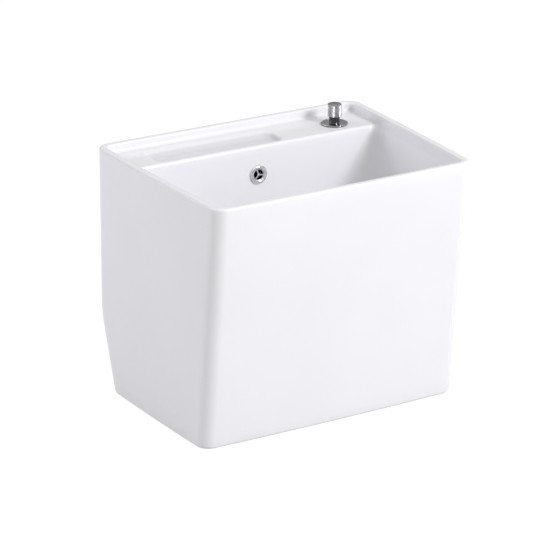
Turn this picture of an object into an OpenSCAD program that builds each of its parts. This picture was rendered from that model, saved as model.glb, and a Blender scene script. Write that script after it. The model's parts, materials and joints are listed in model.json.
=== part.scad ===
// Floor-standing ceramic mop sink with a lift-rod pop-up waste.
// Millimetres. X is across, Y runs back to the wall, Z is up.
// The origin is on the floor, under the middle of the body.

/* [Basin body] */
// Width across the back
width = 500; // [440:10:620]
// Depth from the front of the rim to the wall
depth = 385; // [370:5:450]
// Height of the rim above the floor
height = 418; // [400:2:480]
// How far each side comes in from back to front
side_taper = 12; // [0:1:20]
// How far each side bulges at its middle
side_bow = 3; // [0:0.5:6]
// How far the front bulges at its middle
front_bow = 4; // [0:0.5:10]
// How far the foot of the front stands back from the rim
front_lean = 42; // [0:1:50]
// Height of the bend in the back
bend_height = 130; // [100:5:170]
// How far the foot of the back stands in from the wall
bend_depth = 43; // [10:1:46]
// Half height of the soft zone of that bend
bend_soft = 18; // [5:1:30]
// Radius of the upright outer corners
corner_radius = 24; // [20:1:40]
// Ceramic thickness of sides, bowl and skirt
wall = 12; // [10:0.5:15]
// Width of the rim
rim_width = 13; // [12:0.5:18]
// Rounding of the outer edge of the rim
rim_round = 4; // [2:0.5:5]
// Slope on the inner edge of the rim
rim_ease = 3; // [1:0.5:4]
// Rounding of the lower edge
foot_round = 5; // [2:0.5:7]

/* [Deck] */
// Depth of the deck, from the wall to the bowl
deck_depth = 102; // [96:1:120]
// Drop from the rim to the deck
deck_drop = 15; // [10:1:22]
// Thickness of the deck
deck_thickness = 20; // [17:1:26]
// Left end of the soap and brush recess
recess_left = -182; // [-200:1:-120]
// Right end of the recess
recess_right = 62; // [0:1:90]
// Width of the flat lip in front of the recess
recess_lip = 8; // [5:1:14]
// Flat strip behind the recess
recess_back = 16; // [8:1:24]
// Depth of the recess
recess_depth = 9; // [5:0.5:10]
// How far the recess slopes in at its ends
recess_end_slope = 12; // [4:1:20]
// How far the recess slopes in at the back
recess_back_slope = 24; // [10:1:30]
// How far the recess slopes in at the front
recess_front_slope = 4; // [2:1:8]

/* [Bowl] */
// Height of the bowl's floor at the drain
bowl_floor = 170; // [170:2:190]
// Corner radius of the bowl at the deck
bowl_top_radius = 16; // [10:1:24]
// Corner radius of the bowl at its foot
bowl_low_radius = 96; // [70:1:98]
// How far the bowl's sides come in at its foot
bowl_side_in = 38; // [20:1:50]
// How far the bowl's front comes in at its foot
bowl_front_in = 16; // [8:1:24]
// How far the bowl's back comes in at its foot
bowl_back_in = 10; // [4:1:16]
// Height from the drain to the foot of the bowl's walls
bowl_sweep = 24; // [18:1:30]
// Radius of the flat round the drain
drain_flat = 46; // [42:1:50]

/* [Overflow] */
// Drop from the rim to the middle of the overflow
overflow_drop = 63; // [60:1:80]
// Outer radius of the ring
ring_radius = 16; // [14:0.5:18]
// How far the ring stands proud
ring_height = 4; // [2.5:0.5:6]
// Bore radius of the ring
ring_bore = 10; // [8:0.5:11]
// Wall of the ring's sleeve
ring_sleeve_wall = 1.4; // [1:0.1:2]
// Length of the sleeve in the ceramic
ring_sleeve_length = 9; // [6:1:11]
// Depth of the grid inside the ring
grid_recess = 3; // [2:0.5:4]
// Width of the grid's spokes
spoke_width = 2.2; // [1.2:0.2:2.6]
// Number of spokes
spoke_count = 3; // [3, 4, 5, 6]
// Angle of the first spoke
spoke_start = -10; // [-60:5:60]
// Width of the overflow duct
duct_width = 28; // [20:1:30]
// Depth of the overflow duct
duct_depth = 12; // [8:1:14]

/* [Lift knob] */
// Distance from the right side to the knob
knob_side = 77; // [70:1:110]
// Distance from the wall to the knob
knob_inset = 63; // [52:1:64]
// Radius of the knob
knob_radius = 12; // [10:0.5:15]
// Height of the knob
knob_height = 21.5; // [18:0.5:30]
// Slope on the top edge of the knob
knob_bevel = 1; // [0.6:0.2:3]
// Radius of the deck flange
flange_radius = 23; // [19:0.5:26]
// Thickness of the deck flange
flange_thickness = 2.4; // [2:0.2:4]
// Radius of the neck under the knob
neck_radius = 9; // [8.5:0.5:9.5]
// Height of the neck
neck_height = 10.5; // [8:0.5:20]
// Radius of the threaded shank
shank_radius = 8; // [7.5:0.1:8.5]
// Length of shank below the deck
shank_below = 18; // [14:1:24]
// Radius of the hole in the deck
deck_hole = 9.5; // [9:0.5:11]
// Radius of the lift rod
rod_radius = 3; // [2.5:0.1:3.5]
// Outer radius of the guide bush
bush_radius = 5; // [4.5:0.1:5.5]
// Length of the guide bush
bush_length = 22; // [16:1:30]
// How far the knob lifts
lift_travel = 50; // [30:1:56]

/* [Waste] */
// Drain position in front of the middle of the body
drain_y = -35; // [-40:1:-30]
// Radius of the drain hole in the ceramic
drain_hole = 23; // [22.5:0.5:25]
// Outer radius of the waste tube
tube_radius = 21; // [20:0.5:22]
// Wall of the waste tube
tube_wall = 2; // [1.5:0.1:2.5]
// Outer radius of the bowl flange
drain_flange_radius = 32; // [28:0.5:35]
// Thickness of the bowl flange
drain_flange_thickness = 2.5; // [2:0.1:3]
// Radius of the opening in the bowl flange
drain_opening = 16.5; // [15:0.5:17]
// Radius of the plug's cap
plug_radius = 21; // [19:0.5:24]
// Height of the pivot above the floor
pivot_height = 84; // [80:1:86]
// Distance from the drain's middle to the pivot ball
ball_offset = 30; // [29:0.5:32]
// Radius of the pivot ball
ball_radius = 6; // [5.5:0.1:6.5]
// Radius of the pivot rod
pivot_rod_radius = 2.3; // [2:0.1:2.6]
// Length of pivot rod past the strap
rod_tail = 14; // [10:1:20]
// Outer radius of the outlet tube
outlet_radius = 16; // [15:0.5:17]
// Wall of the outlet tube
outlet_wall = 1.2; // [1:0.1:1.6]
// Height of the lower end of the outlet tube
outlet_end = 12; // [8:1:20]
// Height of the lower end of the waste tube
tube_end = 50; // [48:1:54]

/* [Pipe notch] */
// Width of the notch for pipes in the back
notch_width = 140; // [80:5:180]
// Height of that notch
notch_height = 105; // [60:5:125]
// Corner radius of the notch
notch_radius = 24; // [10:1:36]

/* [Hidden] */
$fn = 64;

through = 1;            // how far a cut runs past a face
run_on = 40;            // how far the skirt's space runs on below the floor
gap = 0.3;              // clearance between pieces that move past each other
fit = 0.05;             // radial clearance of a running fit
arc_steps = 8;          // steps in each rounded corner of the body
edge_steps = 5;         // steps along each bowed edge
round_turns = [0, 30, 60, 90];  // turn, in degrees, of each ring round the foot and the rim

back_y = depth / 2;
front_y = -depth / 2;
lip_z = height - rim_round;
deck_z = height - deck_drop;
deck_under = deck_z - deck_thickness;
bowl_back = back_y - deck_depth;
bowl_foot = bowl_floor + bowl_sweep;
bowl_top = deck_z + through;

// Slope of the bowl's back wall, which the overflow is square to
wall_tilt = atan(bowl_back_in / (bowl_top - bowl_foot));
overflow_z = height - overflow_drop;
overflow_y = bowl_back - (bowl_top - overflow_z) * tan(wall_tilt);
gasket_t = 1;
gasket_inset = 1.5;
sleeve_outer = ring_bore + ring_sleeve_wall;
ring_edge = 1.2;
grid_t = 3;
grid_band = 1.2;

// Overflow duct behind the bowl and under its floor
duct_margin = 2;
duct_y = overflow_y + wall + duct_margin;
duct_wall = 10;
boss_radius = drain_flat + duct_margin;
boss_depth = 44;
boss_under = bowl_floor - boss_depth;
chamber_height = 16;
chamber_floor = duct_wall + 1;
chamber_low = boss_under + chamber_floor;
chamber_radius = drain_hole + wall;

// Corner radii of the recess, and how fast the foot of the bowl draws in
recess_top_radius = 20;
recess_floor_radius = 12;
bowl_draw = 1.6;
bowl_draw_steps = [0, 0.5, 0.85];

knob_x = width / 2 - knob_side;
knob_y = back_y - knob_inset;
flange_z = deck_z + gasket_t;
neck_z = flange_z + flange_thickness;
knob_z = neck_z + neck_height + gap;
shank_end = deck_under - shank_below;
flange_edge = 0.8;
bush_lip = 2;
neck_top = neck_z + neck_height;
knob_head = 6;
knob_edge = 1;
knob_crown = 0.4;
rod_top = knob_z + knob_height - knob_head;
knob_screw_z = knob_z + knob_height / 3;
knob_screw_radius = 2;
knob_screw_set = 1.5;
deck_washer_t = 3;
deck_washer_radius = 17;
deck_nut_t = 8;
deck_nut_radius = 14;

// The pivot rod runs from the drain to under the knob
link_dx = knob_x;
link_dy = knob_y - drain_y;
link_angle = atan2(link_dy, link_dx);
link_length = norm([link_dx, link_dy]);
strap_t = 1.5;
strap_width = 16;
strap_offset = rod_radius + gap;
strap_at = link_length - strap_offset - strap_t / 2;
arm_out = strap_at - ball_offset;
arm_in = ball_offset;
swing = atan(lift_travel / 2 / arm_out);
plug_travel = 2 * arm_in * tan(swing);
strap_margin = 12;
strap_rise = 88;
strap_hole_z = pivot_height - lift_travel / 2;
strap_low = strap_hole_z - strap_margin;
strap_high = strap_hole_z + strap_rise;
strap_hole_count = 5;
strap_hole_step = 13;
strap_hole_play = 1.1;
strap_hole_radius = pivot_rod_radius + strap_hole_play;
ear_margin = 7;
ear_length = 2 * rod_radius + ear_margin;
ear_gap = 22;
rod_end = 8;
rod_low = strap_high - ear_gap - rod_end;
strap_screw_z = strap_high - ear_gap / 2;
strap_screw_radius = 2.5;
strap_screw_reach = 6;
screw_head_radius = 6;
screw_head_t = 5;
clip_reach = 5;
clip_t = 0.8;
clip_width = 12;
clip_rise = 7;

// Waste pieces, from the bowl down
flange_gasket_t = 1.5;
flange_low = bowl_floor + flange_gasket_t;
flange_top = flange_low + drain_flange_thickness;
tube_bore = tube_radius - tube_wall;
tube_top = flange_low - gap;
sleeve_radius = tube_bore - fit;
sleeve_length = 14;
flange_edge_t = 0.6;
flange_slope = 2;
flange_dish = 1.2;
flange_dish_width = 5;
slot_radius = 5;
cone_t = 9;
cone_nose = 6;
cone_inset = 2;
slip_t = 1.5;
back_nut_t = 9;
back_nut_radius = 32;
port_radius = 11;
port_wall = 3;
seat_hole = 4.4;
seat_radius = port_radius - port_wall - fit;
seat_t = 3;
seat_reach = sqrt(ball_radius * ball_radius - seat_hole * seat_hole);
seat_in = ball_offset - seat_reach - seat_t - fit;
seat_out = ball_offset + seat_reach + fit;
seat_proud = 1;
port_end = seat_out + seat_t - seat_proud;
rod_play = 1;
pivot_nut_wall = 2.5;
pivot_nut_radius = port_radius + 3;
pivot_nut_start = ball_offset - 2;
pivot_nut_end = seat_out + seat_t + gap + pivot_nut_wall;
rod_reach = 6;
plug_low = flange_top + gap + plug_travel;
plug_cap_t = 5;
plug_lip = [2, 1.6];
plug_edge_t = 0.8;
plug_dome = 2.6;
plug_shoulder = 4;
seal_t = 1.1;
seal_overlap = 2.5;
stem_fin = drain_opening - gap;
stem_thickness = 2;
fins_low = flange_low - sleeve_length + 2;
eye_z = pivot_height + arm_in * tan(swing);
eye_play = 1.2;
eye_radius = pivot_rod_radius + eye_play;
stem_foot = 9;
stem_low = eye_z - stem_foot;
stem_core = 5;
spigot_length = 16;
spigot_step = 0.5;
spigot_radius = outlet_radius - spigot_step;
outlet_top = tube_end + spigot_length;

// Half width of the body at a distance along Y
function along(y) = (back_y - y) / depth;
function half_width(y) = width / 2 - side_taper * along(y) + 4 * side_bow * along(y) * (1 - along(y));
function front_at(z) = front_y + front_lean * max(0, 1 - z / lip_z);
function back_at(z) = z < bend_height ? back_y - bend_depth * (1 - z / bend_height) : back_y;
function bowed(x) = front_bow * pow(2 * x / width, 2);

// Outline of the body at one level: right half from back to front, then its mirror image
function half_outline(back, front, side_in, r) =
    let (back_x = half_width(back - r) - side_in - r,
        front_x = half_width(front + r) - side_in - r,
        front_cy = front + bowed(front_x) + r,
        back_cy = back - r)
    concat(
        [for (i = [0 : arc_steps]) let (a = 90 - 90 * i / arc_steps)
            [back_x + r * cos(a), back_cy + r * sin(a)]],
        [for (i = [1 : edge_steps - 1]) let (y = back_cy + (front_cy - back_cy) * i / edge_steps)
            [half_width(y) - side_in, y]],
        [for (i = [0 : arc_steps]) let (a = -90 * i / arc_steps)
            [front_x + r * cos(a), front_cy + r * sin(a)]],
        [for (i = [1 : edge_steps]) let (x = front_x * (1 - i / edge_steps))
            [x, front + bowed(x)]]);
function mirrored(points) = [for (i = [len(points) - 2 : -1 : 0]) [-points[i][0], points[i][1]]];
function outline(back, front, side_in, r) =
    let (half = half_outline(back, front, side_in, r)) concat(half, mirrored(half));

// Rectangle with rounded corners, in the same direction round
function round_box(x0, x1, y0, y1, r) = [for (c = [0 : 3]) for (i = [0 : arc_steps])
    let (a = 90 - 90 * c - 90 * i / arc_steps)
    [(c < 2 ? x1 - r : x0 + r) + r * cos(a), (c == 0 || c == 3 ? y1 - r : y0 + r) + r * sin(a)]];

// One level of a lofted form: an outline at a height
function level(z, points) = [for (p = points) [p[0], p[1], z]];
function body_level(z, inset) = level(z, outline(back_at(z) - inset, front_at(z) + inset, inset,
    corner_radius - inset));

// Skin over a list of levels, from the lowest to the highest, closed at both ends
module loft(levels) {
    n = len(levels[0]);
    last = len(levels) - 1;
    polyhedron(
        points = [for (ring = levels) each ring],
        faces = concat(
            [[for (i = [n - 1 : -1 : 0]) i]],
            [for (k = [0 : last - 1]) for (i = [0 : n - 1]) let (low = k * n, next = (i + 1) % n)
                each [[low + i, low + next, low + n + next], [low + i, low + n + next, low + n + i]]],
            [[for (i = [0 : n - 1]) last * n + i]]));
}

module ring(inner, outer, z, t) {
    translate([0, 0, z]) difference() {
        cylinder(r = outer, h = t);
        translate([0, 0, -through]) cylinder(r = inner, h = t + 2 * through);
    }
}

module hex_nut(bore, across, z, t) {
    translate([0, 0, z]) difference() {
        cylinder(r = across, h = t, $fn = 6);
        translate([0, 0, -through]) cylinder(r = bore, h = t + 2 * through);
    }
}

module at_drain() {
    translate([0, drain_y, 0]) children();
}

module at_knob() {
    translate([knob_x, knob_y, 0]) children();
}

// Local X runs from the drain to the lift rod, and local Z stays up
module at_link() {
    translate([0, drain_y, 0]) rotate([0, 0, link_angle]) children();
}

// Local Z comes straight out of the bowl's back wall at the overflow
module at_overflow() {
    translate([0, overflow_y, overflow_z]) rotate([90 - wall_tilt, 0, 0]) children();
}

module body_block() {
    loft(concat(
        [for (a = round_turns) body_level(foot_round * (1 - cos(a)), foot_round * (1 - sin(a)))],
        [for (side = [-1, 1]) body_level(bend_height + side * bend_soft, 0)],
        [for (i = [len(round_turns) - 1 : -1 : 0]) let (a = round_turns[i])
            body_level(height - rim_round * (1 - cos(a)), rim_round * (1 - sin(a)))]));
}

module skirt_space() {
    loft([for (z = [-run_on, bend_height - bend_soft, bend_height + bend_soft, deck_under])
        body_level(z, wall)]);
}

// The inside of the bowl, or with grow its outer skin: its foot draws in to the flat at the drain
module bowl_space(grow) {
    rows = [for (i = [len(bowl_draw_steps) - 1 : -1 : 0]) let (step = bowl_draw_steps[i],
            z = bowl_foot - step * (bowl_sweep + grow),
            more = bowl_sweep * bowl_draw * step * step - grow)
        level(z, outline(bowl_back - bowl_back_in - more, front_at(z) + rim_width + bowl_front_in + more,
            rim_width + bowl_side_in + more, bowl_low_radius - more))];
    drain = [0, drain_y];
    flat = [for (p = rows[0]) let (out = [p[0], p[1]] - drain) drain + drain_flat * out / norm(out)];
    top = outline(bowl_back + grow, front_at(bowl_top) + rim_width - grow, rim_width - grow,
        bowl_top_radius + grow);
    loft(concat([level(bowl_floor - grow, flat)], rows, [level(bowl_top, top)]));
}

function tray_level(z, inset) = level(z, outline(back_y - inset, front_at(z) + inset, inset,
    corner_radius - rim_width + rim_ease));

// The walls of the tray stand upright, and its top edge slopes out over the rim
module tray_space() {
    loft([for (z = [deck_z, height + through]) tray_level(z, rim_width)]);
    loft([for (up = [-2 * rim_ease, through]) tray_level(height + up, rim_width - rim_ease - up)]);
}

module recess_space() {
    recess_y0 = bowl_back + recess_lip;
    recess_y1 = back_y - rim_width - recess_back;
    loft([
        level(deck_z - recess_depth, round_box(recess_left + recess_end_slope,
            recess_right - recess_end_slope, recess_y0 + recess_front_slope,
            recess_y1 - recess_back_slope, recess_floor_radius)),
        level(deck_z + through, round_box(recess_left, recess_right, recess_y0, recess_y1,
            recess_top_radius))]);
}

module duct_block(side, low, high, front) {
    reach = duct_y + duct_depth + side - front;
    translate([-duct_width / 2 - side, front, low])
        cube([duct_width + 2 * side, reach, high - low]);
}

module notch_space() {
    side = notch_width / 2;
    translate([0, back_y + through, 0]) rotate([90, 0, 0]) linear_extrude(deck_depth) {
        translate([-side, -through]) square([notch_width, notch_height - notch_radius + through]);
        translate([-side + notch_radius, 0]) square([notch_width - 2 * notch_radius, notch_height]);
        for (s = [-1, 1]) translate([s * (side - notch_radius), notch_height - notch_radius])
            circle(r = notch_radius);
    }
}

module basin() {
    color("white") difference() {
        union() {
            difference() {
                body_block();
                difference() {
                    skirt_space();
                    bowl_space(wall);
                }
            }
            duct_block(duct_wall, boss_under, deck_under + through, overflow_y);
            duct_block(duct_wall, boss_under, bowl_floor, drain_y);
            at_drain() translate([0, 0, boss_under]) cylinder(r = boss_radius, h = boss_depth);
        }
        bowl_space(0);
        tray_space();
        recess_space();
        notch_space();
        duct_block(0, chamber_low, overflow_z + duct_width / 2, duct_y);
        duct_block(0, chamber_low, chamber_low + chamber_height, drain_y);
        at_drain() translate([0, 0, chamber_low]) cylinder(r = chamber_radius, h = chamber_height);
        at_drain() cylinder(r = drain_hole, h = bowl_top);
        at_knob() translate([0, 0, deck_under - through]) cylinder(r = deck_hole, h = height);
        at_overflow() translate([0, 0, -wall - duct_depth / 2])
            cylinder(r = sleeve_outer + gap, h = height / 4);
    }
}

module overflow_ring() {
    color("silver") at_overflow() rotate_extrude() polygon([
        [ring_bore, -ring_sleeve_length], [sleeve_outer, -ring_sleeve_length],
        [sleeve_outer, gasket_t], [ring_radius - ring_edge, gasket_t],
        [ring_radius, gasket_t + ring_edge / 2], [ring_radius, ring_height / 2],
        [ring_radius - ring_edge, ring_height - ring_edge],
        [ring_radius - 2 * ring_edge, ring_height], [ring_bore + ring_edge, ring_height],
        [ring_bore, ring_height - ring_edge]]);
}

module overflow_grid() {
    grid_top = ring_height - grid_recess;
    outer = ring_bore - fit;
    color("silver") at_overflow() translate([0, 0, grid_top - grid_t]) {
        ring(outer - grid_band, outer, 0, grid_t);
        cylinder(r = spoke_width, h = grid_t);
        for (i = [0 : spoke_count - 1]) rotate([0, 0, spoke_start + 360 * i / spoke_count])
            translate([0, -spoke_width / 2, 0]) cube([outer - grid_band / 2, spoke_width, grid_t]);
    }
}

module overflow_gasket() {
    color("dimgray") at_overflow()
        ring(sleeve_outer + fit, ring_radius - gasket_inset, 0, gasket_t);
}

module escutcheon() {
    bore = bush_radius + fit;
    color("silver") at_knob() rotate_extrude() polygon([
        [bore, shank_end], [shank_radius, shank_end], [shank_radius, flange_z],
        [flange_radius, flange_z], [flange_radius, neck_z - flange_edge],
        [flange_radius - flange_edge, neck_z - flange_edge / 4], [neck_radius, neck_z],
        [neck_radius, neck_top - flange_edge], [neck_radius - flange_edge, neck_top],
        [rod_radius + gap, neck_top], [rod_radius + gap, neck_top - bush_lip],
        [bore, neck_top - bush_lip]]);
}

module escutcheon_gasket() {
    color("dimgray") at_knob()
        ring(shank_radius + fit, flange_radius - gasket_inset, deck_z, gasket_t);
}

module guide_bush() {
    color("white") at_knob()
        ring(rod_radius + fit, bush_radius, neck_top - bush_lip - bush_length, bush_length);
}

module deck_washer() {
    color("dimgray") at_knob()
        ring(shank_radius + fit, deck_washer_radius, deck_under - deck_washer_t, deck_washer_t);
}

module deck_nut() {
    color("goldenrod") at_knob() hex_nut(shank_radius + fit, deck_nut_radius,
        deck_under - deck_washer_t - deck_nut_t, deck_nut_t);
}

module knob() {
    knob_top = knob_z + knob_height;
    color("silver") at_knob() difference() {
        rotate_extrude() polygon([
            [0, knob_z], [knob_radius - knob_edge, knob_z], [knob_radius, knob_z + knob_edge],
            [knob_radius, knob_top - knob_bevel],
            [knob_radius - knob_bevel, knob_top - knob_crown], [0, knob_top]]);
        translate([0, 0, knob_z - through]) cylinder(r = rod_radius, h = rod_top - knob_z + through);
        translate([0, 0, knob_screw_z]) rotate([-90, 0, 0])
            cylinder(r = knob_screw_radius, h = knob_radius + through);
    }
}

module knob_screw() {
    color("gray") at_knob() translate([0, rod_radius, knob_screw_z]) rotate([-90, 0, 0])
        cylinder(r = knob_screw_radius, h = knob_radius - rod_radius - knob_screw_set);
}

module lift_rod() {
    color("silver") at_knob() translate([0, 0, rod_low])
        cylinder(r = rod_radius, h = rod_top - rod_low);
}

module rod_strap() {
    ear_z = [strap_high - strap_t, strap_high - ear_gap];
    color("gold") at_link() difference() {
        union() {
            translate([strap_at - strap_t / 2, -strap_width / 2, strap_low])
                cube([strap_t, strap_width, strap_high - strap_low]);
            for (z = ear_z) translate([strap_at - strap_t / 2, -strap_width / 2, z])
                cube([ear_length + strap_t, strap_width, strap_t]);
        }
        translate([link_length, 0, 0]) cylinder(r = rod_radius, h = height);
        for (i = [0 : strap_hole_count - 1]) translate([strap_at, 0, strap_hole_z + i * strap_hole_step])
            rotate([0, 90, 0]) cylinder(r = strap_hole_radius, h = strap_t + 2 * through, center = true);
        translate([strap_at, 0, strap_screw_z]) rotate([0, 90, 0])
            cylinder(r = strap_screw_radius, h = strap_t + 2 * through, center = true);
    }
}

module strap_screw() {
    tip = link_length - rod_radius;
    under_head = strap_at - strap_t / 2 - strap_screw_reach;
    color("goldenrod") at_link() translate([0, 0, strap_screw_z]) rotate([0, 90, 0]) {
        translate([0, 0, under_head]) cylinder(r = strap_screw_radius, h = tip - under_head);
        translate([0, 0, under_head - screw_head_t]) cylinder(r = screw_head_radius, h = screw_head_t);
    }
}

module spring_clip() {
    clip_low = strap_low - gap - clip_t;
    clip_high = strap_hole_z + clip_rise;
    color("silver") at_link() difference() {
        translate([strap_at - clip_reach, -clip_width / 2, clip_low])
            cube([2 * clip_reach, clip_width, clip_high - clip_low]);
        translate([strap_at - clip_reach + clip_t, -clip_width, clip_low + clip_t])
            cube([2 * (clip_reach - clip_t), 2 * clip_width, clip_high]);
        translate([strap_at, 0, strap_hole_z]) rotate([0, 90, 0])
            cylinder(r = strap_hole_radius, h = 4 * clip_reach, center = true);
    }
}

// The pivot rod lies along its swing: at rest its far end hangs low and the plug stands open
module at_pivot() {
    at_link() translate([ball_offset, 0, pivot_height]) rotate([0, swing, 0]) children();
}

module pivot_rod() {
    inner_end = arm_in + rod_reach;
    outer_end = arm_out + rod_tail;
    color("silver") at_pivot() rotate([0, 90, 0]) translate([0, 0, -inner_end])
        cylinder(r = pivot_rod_radius, h = inner_end + outer_end);
}

module pivot_ball() {
    color("white") at_pivot() rotate([0, 90, 0]) rotate_extrude() intersection() {
        circle(r = ball_radius);
        translate([pivot_rod_radius, -ball_radius]) square(2 * ball_radius);
    }
}

module ball_seats() {
    color("whitesmoke") at_link() translate([0, 0, pivot_height]) rotate([0, 90, 0]) {
        ring(seat_hole, seat_radius, seat_in, seat_t);
        ring(seat_hole, seat_radius, seat_out, seat_t);
    }
}

module pivot_nut() {
    length = pivot_nut_end - pivot_nut_start;
    color("silver") at_link() translate([0, 0, pivot_height]) rotate([0, 90, 0]) difference() {
        translate([0, 0, pivot_nut_start]) cylinder(r = pivot_nut_radius, h = length, $fn = 12);
        translate([0, 0, pivot_nut_start - through])
            cylinder(r = port_radius + fit, h = length - pivot_nut_wall + through);
        cylinder(r = seat_hole + rod_play, h = pivot_nut_end + through);
    }
}

module drain_flange() {
    sleeve_low = flange_low - sleeve_length;
    dish_top = flange_top - flange_edge_t;
    color("silver") at_drain() rotate_extrude() polygon([
        [drain_opening, sleeve_low], [sleeve_radius, sleeve_low], [sleeve_radius, flange_low],
        [drain_flange_radius, flange_low], [drain_flange_radius, flange_low + flange_edge_t],
        [drain_flange_radius - flange_slope, flange_top],
        [drain_opening + flange_dish_width, dish_top], [drain_opening, dish_top - flange_dish]]);
}

module flange_gasket() {
    color("dimgray") at_drain()
        ring(drain_hole, drain_flange_radius - 2 * gasket_inset, bowl_floor, flange_gasket_t);
}

module drain_body() {
    slot_z = chamber_low + chamber_height / 2;
    color("silver") at_drain() difference() {
        union() {
            translate([0, 0, tube_end]) cylinder(r = tube_radius, h = tube_top - tube_end);
            rotate([0, 0, link_angle]) translate([0, 0, pivot_height]) rotate([0, 90, 0])
                cylinder(r = port_radius, h = port_end);
        }
        translate([0, 0, outlet_top]) cylinder(r = tube_bore, h = tube_top);
        translate([0, 0, tube_end - through]) cylinder(r = spigot_radius + fit, h = tube_top);
        for (i = [0 : 3]) rotate([0, 0, 90 * i + 45]) translate([0, 0, slot_z]) rotate([0, 90, 0])
            cylinder(r = slot_radius, h = 2 * tube_radius);
        rotate([0, 0, link_angle]) translate([0, 0, pivot_height]) rotate([0, 90, 0]) {
            translate([0, 0, seat_in]) cylinder(r = port_radius - port_wall, h = port_end);
            cylinder(r = seat_hole + rod_play, h = port_end);
        }
    }
}

module cone_washer() {
    cone_radius = back_nut_radius - cone_inset;
    color("dimgray") at_drain() rotate_extrude() polygon([
        [tube_radius + fit, boss_under - cone_t], [cone_radius, boss_under - cone_t],
        [cone_radius, boss_under - cone_t / 3], [tube_radius + cone_nose, boss_under],
        [tube_radius + fit, boss_under]]);
}

module slip_washer() {
    color("white") at_drain()
        ring(tube_radius + fit, back_nut_radius - cone_inset, boss_under - cone_t - slip_t, slip_t);
}

module back_nut() {
    color("silver") at_drain() hex_nut(tube_radius + fit, back_nut_radius,
        boss_under - cone_t - slip_t - back_nut_t, back_nut_t);
}

module plug_cap() {
    cap_top = plug_low + plug_cap_t;
    color("silver") at_drain() rotate_extrude() polygon([
        [0, plug_low], [plug_radius - plug_lip[0], plug_low], [plug_radius, plug_low + plug_lip[1]],
        [plug_radius, plug_low + plug_lip[1] + plug_edge_t],
        [plug_radius - plug_shoulder, cap_top - plug_dome / 3],
        [plug_radius / 2, cap_top + plug_dome / 2], [0, cap_top + plug_dome]]);
}

module plug_seal() {
    color("black") at_drain() ring(stem_core, drain_opening + seal_overlap, plug_low - seal_t, seal_t);
}

module plug_stem() {
    color("whitesmoke") at_drain() rotate([0, 0, link_angle]) difference() {
        union() {
            translate([0, 0, stem_low]) cylinder(r = stem_core, h = plug_low - stem_low);
            for (a = [45, 135]) rotate([0, 0, a]) translate([-stem_fin, -stem_thickness / 2, fins_low])
                cube([2 * stem_fin, stem_thickness, plug_low - seal_t - fins_low]);
        }
        translate([0, 0, eye_z]) rotate([0, 90, 0])
            cylinder(r = eye_radius, h = 4 * stem_core, center = true);
    }
}

module tailpiece() {
    bore = spigot_radius - outlet_wall;
    color("silver") at_drain() rotate_extrude() polygon([
        [bore, outlet_end], [outlet_radius, outlet_end], [outlet_radius, tube_end],
        [spigot_radius, tube_end], [spigot_radius, outlet_top], [bore, outlet_top]]);
}

basin();
overflow_ring();
overflow_grid();
overflow_gasket();
escutcheon();
escutcheon_gasket();
guide_bush();
deck_washer();
deck_nut();
knob();
knob_screw();
lift_rod();
rod_strap();
strap_screw();
spring_clip();
pivot_rod();
pivot_ball();
ball_seats();
pivot_nut();
drain_flange();
flange_gasket();
drain_body();
cone_washer();
slip_washer();
back_nut();
plug_cap();
plug_seal();
plug_stem();
tailpiece();
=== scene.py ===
import bpy
import bmesh
import json
from math import atan, cos, hypot, pi, radians, sin
from mathutils import Matrix, Vector

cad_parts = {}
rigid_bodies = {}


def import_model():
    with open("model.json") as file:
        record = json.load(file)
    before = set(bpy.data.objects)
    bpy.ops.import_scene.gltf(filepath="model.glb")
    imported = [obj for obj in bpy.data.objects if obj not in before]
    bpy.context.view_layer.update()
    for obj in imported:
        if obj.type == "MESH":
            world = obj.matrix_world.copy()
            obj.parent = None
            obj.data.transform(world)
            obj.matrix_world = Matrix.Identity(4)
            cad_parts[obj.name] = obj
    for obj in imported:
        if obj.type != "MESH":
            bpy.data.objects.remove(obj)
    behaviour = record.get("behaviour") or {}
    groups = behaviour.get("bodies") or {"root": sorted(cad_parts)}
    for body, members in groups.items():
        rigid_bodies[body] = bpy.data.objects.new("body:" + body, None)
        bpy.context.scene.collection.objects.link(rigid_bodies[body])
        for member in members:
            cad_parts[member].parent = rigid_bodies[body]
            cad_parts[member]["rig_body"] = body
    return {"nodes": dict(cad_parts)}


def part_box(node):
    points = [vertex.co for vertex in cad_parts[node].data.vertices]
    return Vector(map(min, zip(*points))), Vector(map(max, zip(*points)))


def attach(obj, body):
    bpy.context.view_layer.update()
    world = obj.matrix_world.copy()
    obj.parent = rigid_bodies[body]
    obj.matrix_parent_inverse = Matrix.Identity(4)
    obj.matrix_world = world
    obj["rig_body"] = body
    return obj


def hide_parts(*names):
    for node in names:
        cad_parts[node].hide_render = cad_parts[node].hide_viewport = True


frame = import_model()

print("frame loaded")
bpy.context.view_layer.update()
basinLow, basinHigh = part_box("basin")
meshing = dict(roundSteps=96, bevelSteps=12, weld=0.000001, smoothAngle=35, turnedAngle=32)


def lerp(a, b, t):
    return a + (b - a) * t


def steps(a, b, count):
    return [lerp(a, b, (i + 1) / count) for i in range(count)]  # leaves the start out


def axisOf(node):
    # the upright axis through the middle of a CAD piece
    low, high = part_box(node)
    return Matrix.Translation(((low.x + high.x) / 2, (low.y + high.y) / 2, 0))


def smoothMesh(mesh, angle):
    mesh.polygons.foreach_set("use_smooth", [True] * len(mesh.polygons))
    mesh.set_sharp_from_angle(angle=radians(angle))


def finishMesh(bm, name, materials, smoothAngle=meshing["smoothAngle"]):
    mesh = bpy.data.meshes.new(name)
    bm.to_mesh(mesh)
    bm.free()
    piece = bpy.data.objects.new(name, mesh)
    bpy.context.scene.collection.objects.link(piece)
    for material in materials:
        mesh.materials.append(material)
    smoothMesh(mesh, smoothAngle)
    mesh.update()
    return piece


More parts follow.
